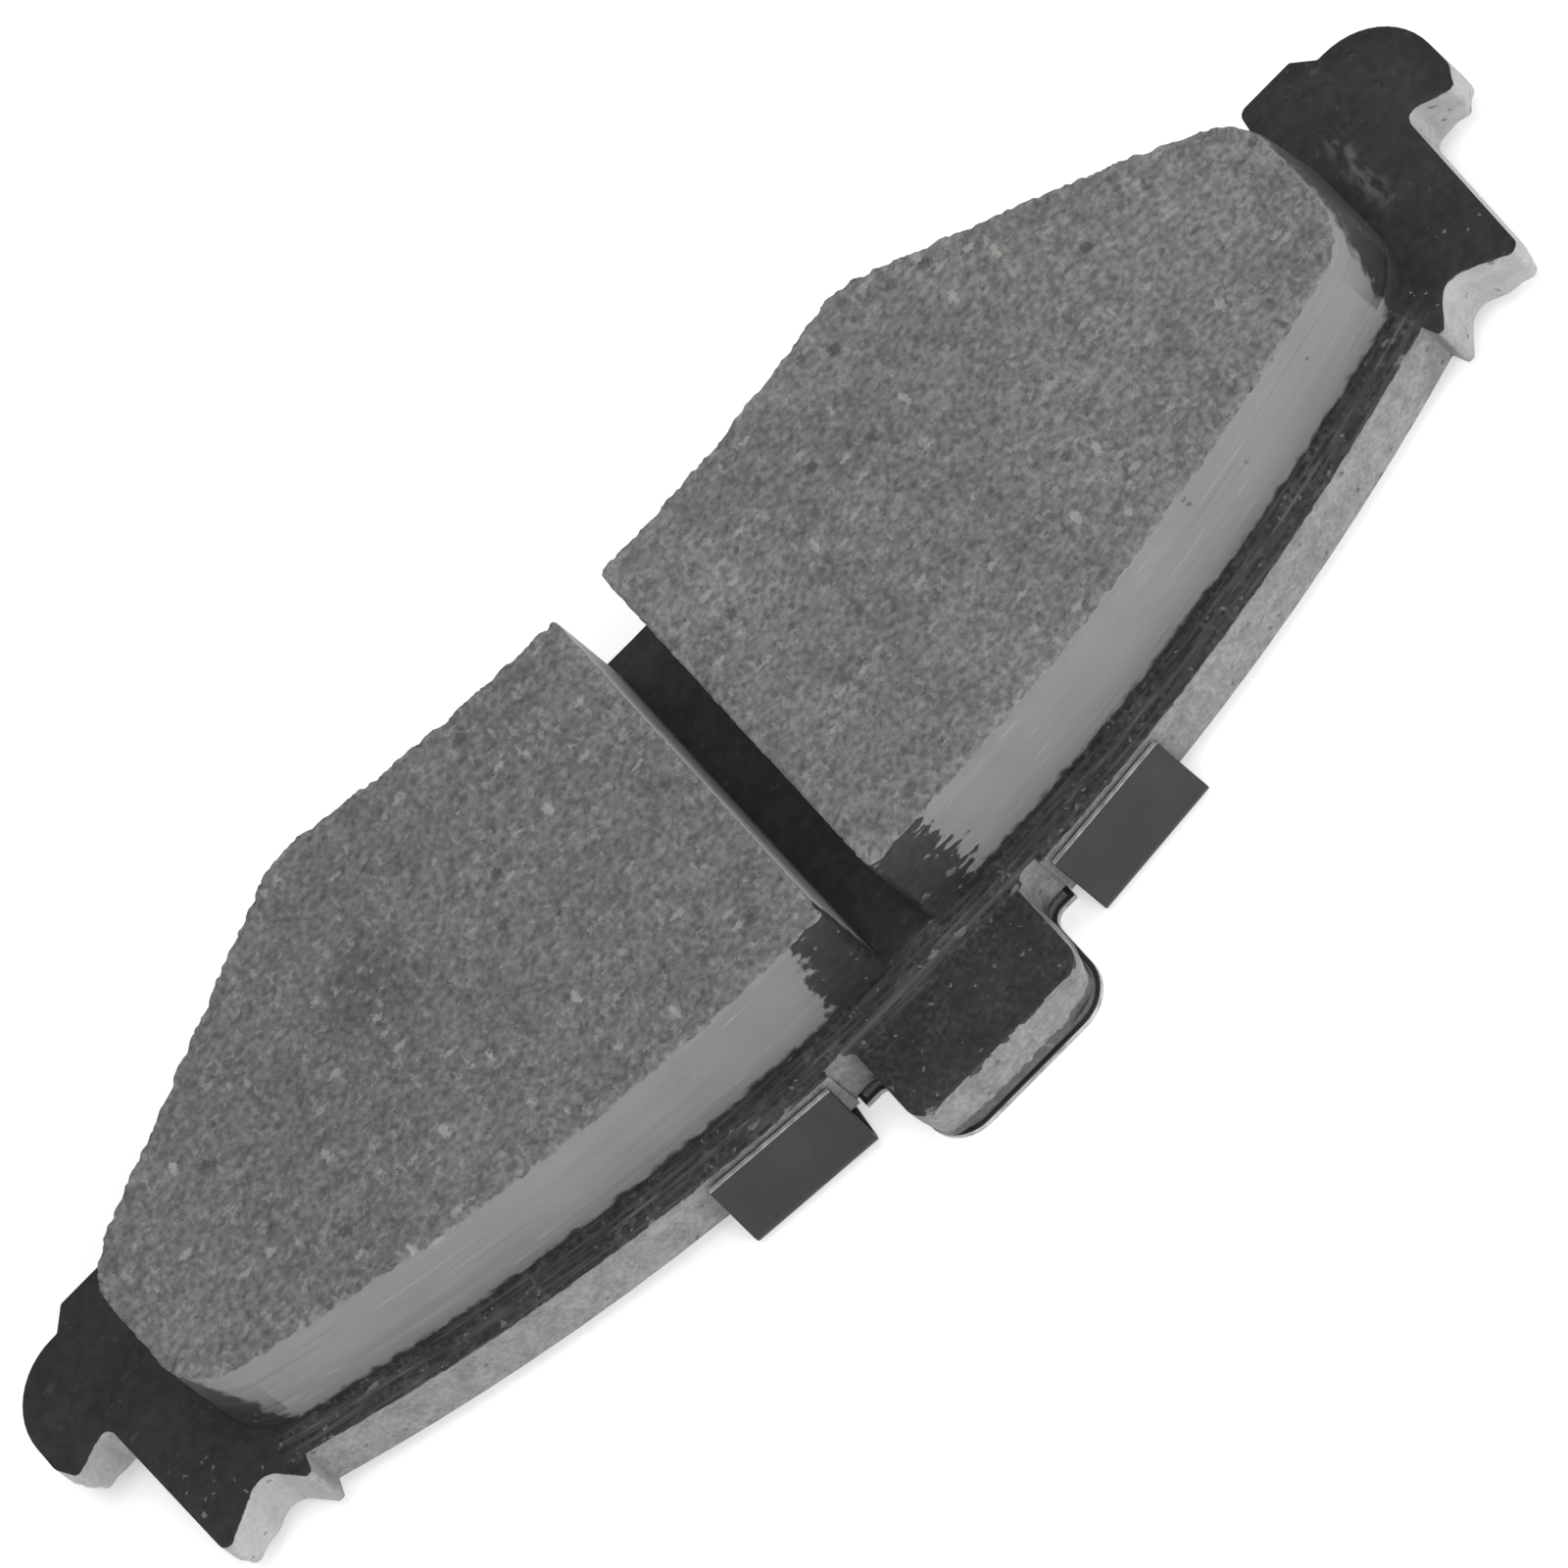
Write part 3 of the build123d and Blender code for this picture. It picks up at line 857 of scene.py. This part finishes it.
def make_friction_material():
    """Speckled friction mix on the face, and a ground wall below it, lighter in the slot as painted light,
    with overspray and painted shade.
    """
    material, tree, shader, place = new_material("friction_mix")
    across = split_axes(tree, place)["X"]
    coarse = cloudy(tree, place, 1.2, 0.82, 1.18)
    fine = cloudy(tree, place, 0.55, 0.66, 1.34)
    cloud = cloudy(tree, place, 11.0, 0.86, 1.12, detail=3.0)
    from_smudge = add(tree, "VectorMath", {0: place, 1: smudge_centre}, operation="DISTANCE")
    smudge = ramp(tree, from_smudge.outputs["Value"], *smudge_fade, 0.68, 1.0)
    # The face is painted darker to the left and lighter to the right: painted shade and light from the
    # lamps' side.
    left_shade_right_light = ramp(tree, across, -2.0, 2.0, 0.93, 1.07)
    face = tone(tree, face_colour, coarse, fine, cloud, smudge, left_shade_right_light)
    for cell, share, width, ways, seed, colour, amount in speck_kinds:
        specks = times(tree, spots(tree, place, cell, share, width, seed, ways), amount)
        face = blend_colour(tree, specks, face, colour)
    crumbs = cloudy(tree, place, 0.5, -0.6, 1.0, detail=3.0)
    bright_rim = times(tree, seen_through(tree, attribute(tree, "rim_wear"), crumbs), 0.55)
    face = blend_colour(tree, bright_rim, face, chip_colour)

    wall = place_group(tree, ground_wall, Place=place)
    paint = place_group(tree, black_paint, Place=place, Dust=wall_dust)
    paint_and_shade_mask = place_group(tree, overspray_and_shade, Place=place)[0]
    # The walls inside the slot are painted lighter: painted light where the slot wall catches the light.
    slot_painted_light = ramp(tree, distance(tree, across), *reversed(slot_wall_fade), 1.0, 2.2)
    wall_tone = tone(tree, wall["Colour"], slot_painted_light)
    wall_with_paint_and_shade = blend_colour(tree, paint_and_shade_mask, wall_tone, paint["Colour"])
    ragged = cloudy(tree, place, 0.5, -0.35, 0.35, detail=3.0)
    on_face = ramp(tree, plus(tree, attribute(tree, "open_grain"), ragged), 0.4, 0.6)
    height = times(tree, coarse, fine, on_face)
    roughness = blend_value(tree, on_face, wall["Roughness"], 0.85)
    colour = blend_colour(tree, on_face, wall_with_paint_and_shade, face)
    connect(tree, shader, colour, roughness, height, strength=0.5, depth=0.00015)
    return material


friction_material = make_friction_material()
for side in ("left", "right"):
    block = make_block(side)
    block.data.materials.append(friction_material)
    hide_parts("friction_block_" + side)
    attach(block, "root")

# ---- Noise shim ----
# Thin steel sheet, coated dark grey, stamped and bent so that four legs clip
# over the plate's long edges. Its cut edges show bare metal.
sheet_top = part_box("shim_damping_layer")[0].z
leg_tips_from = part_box("shim_plate")[1].z - 0.0008
shim_edge_round = 0.00006
shim_smooth_angle = 30
leg_tip_slope = 0.7
sheet_edge_slope = 0.3
coating_colour = (0.028, 0.028, 0.0265, 1)
cut_edge_colour = (0.36, 0.36, 0.36, 1)
steel_shine = 0.3


def make_coating_material():
    """Satin grey coating with a soft cloudiness and a few handling marks."""
    material, tree, shader, place = new_material("satin_coating")
    fine = cloudy(tree, place, 0.4, 0.92, 1.08, detail=3.0)
    cloud = cloudy(tree, place, 5.0, 0.85, 1.15, detail=3.0)
    marks = spots(tree, place, cell=3.0, share=0.15, width=0.08, seed=7.0, ways=(0.4, 1.8, 1.0))
    colour = tone(tree, coating_colour, cloud, fine)
    colour = blend_colour(tree, times(tree, marks, 0.3), colour, paint_dust_colour)
    roughness = cloudy(tree, place, 2.0, 0.42, 0.58, detail=3.0)
    connect(tree, shader, colour, roughness, fine, strength=0.15, depth=0.00003)
    shader.inputs["Specular IOR Level"].default_value = paint_shine
    return material


def make_cut_edge_material():
    """The shim's cut edge: bare steel with dark tears from the cut."""
    material, tree, shader, place = new_material("cut_edge")
    colour = tone(tree, cut_edge_colour, cloudy(tree, place, 0.9, 0.55, 1.25, detail=3.0))
    connect(tree, shader, colour, cloudy(tree, place, 0.6, 0.4, 0.65))
    shader.inputs["Specular IOR Level"].default_value = steel_shine
    return material


shim = new_piece("noise_shim", "shim_plate")
round_edges(shim, shim_edge_round, segments=1)
shim.data.materials.append(make_coating_material())
shim.data.materials.append(make_cut_edge_material())
for face in shim.data.polygons:
    on_tip = face.center.z > leg_tips_from and face.normal.z > leg_tip_slope
    on_sheet_edge = face.center.z < sheet_top and abs(face.normal.z) < sheet_edge_slope
    face.material_index = 1 if on_tip or on_sheet_edge else 0
smooth(shim, shim_smooth_angle)
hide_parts("shim_plate")
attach(shim, "root")

# ---- Rubber layer and pressure-sensitive film ----
# A sheet of damping rubber bonded to the shim, and the sticky film that holds it
# to the plate's back. Only their edges show, between the shim and the plate.
rubber_colour = (0.08, 0.08, 0.08, 1)


def make_rubber_material():
    """Matt black rubber with a fine grain."""
    material, tree, shader, place = new_material("damping_rubber")
    colour = tone(tree, rubber_colour, cloudy(tree, place, 0.3, 0.7, 1.3, detail=3.0))
    connect(tree, shader, colour, cloudy(tree, place, 1.0, 0.75, 0.9))
    return material


finish_node("shim_damping_layer", make_rubber_material())
finish_node("shim_adhesive", film_material)

# ---- Studio ----
# The pad lies on its shim on a white table, under broad soft lights, and the
# camera looks down on the outer edge from far off, turned on its side.
view_azimuth = radians(6.43)
view_elevation = radians(53.99)
view_roll = radians(-50.48)
view_distance = 1.5
view_reach = 10
view_target = Vector((0.0006, 0.00902, 0))
lens_length = 453.7
sensor_width = 36
table_size = 6
table_gap = 0.00002
table_glow = 0.35
room_light = 0.62

# Name, place, size and power of each light.
softboxes = (
    ("front_softbox", (0.2, -1.1, 0.6), 0.9, 9),
    ("top_softbox", (0.0, 0.1, 1.4), 1.0, 4),
    ("right_softbox", (1.1, -0.3, 0.6), 0.6, 4),
)


def make_table_material():
    """A white table top that glows a little, so that it stays white in the shade."""
    material, tree, shader, place = new_material("white_table")
    colour = tone(tree, (1, 1, 1, 1), cloudy(tree, place, 300.0, 0.88, 0.9))
    tree.links.new(colour, shader.inputs["Base Color"])
    shader.inputs["Roughness"].default_value = 0.8
    shader.inputs["Specular IOR Level"].default_value = 0.1
    shader.inputs["Emission Color"].default_value = (1, 1, 1, 1)
    shader.inputs["Emission Strength"].default_value = table_glow
    return material


bpy.ops.object.select_all(action="DESELECT")
bpy.ops.mesh.primitive_plane_add(size=table_size, location=(0, 0, -table_gap))
table = bpy.context.object
table.name = "table"
bpy.ops.object.transform_apply(location=True, rotation=True, scale=True)
table.data.materials.append(make_table_material())

away = Vector((sin(view_azimuth), -cos(view_azimuth), 0))
towards_camera = away * cos(view_elevation) + Vector((0, 0, sin(view_elevation)))
level_right = Vector((cos(view_azimuth), sin(view_azimuth), 0))
level_up = towards_camera.cross(level_right)
turned_right = level_right * cos(view_roll) + level_up * sin(view_roll)
turned_up = level_up * cos(view_roll) - level_right * sin(view_roll)
camera_data = bpy.data.cameras.new("camera")
camera_data.lens = lens_length
camera_data.sensor_width = sensor_width
camera_data.clip_end = view_reach
camera = bpy.data.objects.new("camera", camera_data)
camera_place = Matrix.Translation(view_target + towards_camera * view_distance)
camera_turn = Matrix((turned_right, turned_up, towards_camera)).transposed()
camera.matrix_world = camera_place @ camera_turn.to_4x4()
bpy.context.scene.collection.objects.link(camera)
bpy.context.scene.camera = camera

for name, place, size, power in softboxes:
    light_data = bpy.data.lights.new(name, "AREA")
    light_data.size = size
    light_data.energy = power
    light = bpy.data.objects.new(name, light_data)
    light.location = place
    light.rotation_euler = (-Vector(place)).to_track_quat("-Z", "Y").to_euler()
    bpy.context.scene.collection.objects.link(light)

world = bpy.data.worlds.new("white_room")
world.use_nodes = True
world.node_tree.nodes["Background"].inputs["Color"].default_value = (1, 1, 1, 1)
world.node_tree.nodes["Background"].inputs["Strength"].default_value = room_light
bpy.context.scene.world = world
bpy.context.scene.view_settings.view_transform = "Standard"

bpy.context.view_layer.update()
